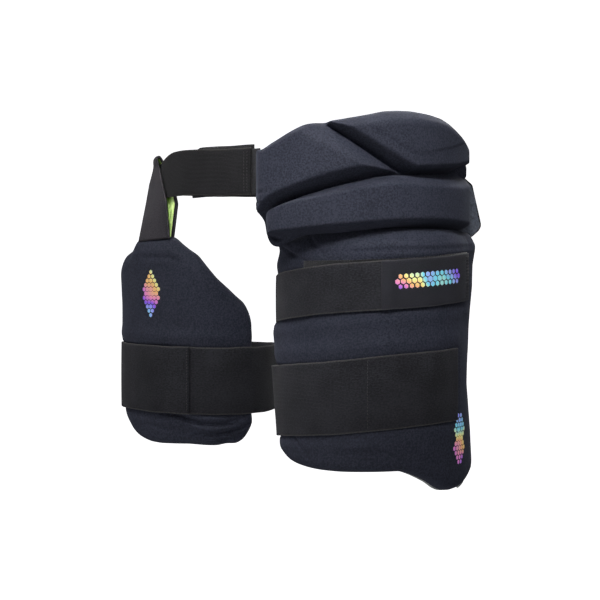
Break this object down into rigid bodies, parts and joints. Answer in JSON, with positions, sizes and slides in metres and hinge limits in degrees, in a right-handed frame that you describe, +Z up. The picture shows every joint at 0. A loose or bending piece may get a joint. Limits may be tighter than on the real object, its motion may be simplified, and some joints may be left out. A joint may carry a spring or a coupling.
{
  "type": "cricket thigh guard",
  "caption": "Worn leg protection for cricket: a padded outer hip and thigh guard, an inner thigh pad, elastic leg straps and a waist belt.",
  "frame": {"origin": "middle of the waist, at half the height of the front of the waist belt", "axes": "+X towards the wearer's left, -Y towards the wearer's front, +Z up"},
  "size_m": [0.4257, 0.2418, 0.3914],
  "materials": {
    "pad_fabric": "dark navy stretch knit, matte",
    "elastic": "black ribbed elastic webbing, matte",
    "smooth_tab": "smooth black woven tab, satin",
    "loop_pile": "black loop pile, fuzzy",
    "strip_fabric": "charcoal webbing, matte",
    "neon_fabric": "neon green lining, matte",
    "web_fabric": "grey-blue satin stretch fabric",
    "lining_fabric": "pale grey lining, matte"
  },
  "bodies": {
    "root": {"hip_base": "pad_fabric", "hip_block_front": "pad_fabric", "hip_block_side": "pad_fabric", "hip_band": "pad_fabric", "side_web": "web_fabric", "thigh_panel": "pad_fabric", "thigh_lining": "lining_fabric", "upper_strap_patch": "loop_pile", "upper_thigh_strap": "elastic", "upper_strap_tab": "smooth_tab", "lower_thigh_strap": "elastic", "inner_pad": "pad_fabric", "inner_thigh_strap": "elastic", "waist_belt": "elastic", "belt_tab": "loop_pile", "hanger_loop": "strip_fabric", "hanger_lining": "neon_fabric"}
  },
  "joints": []
}
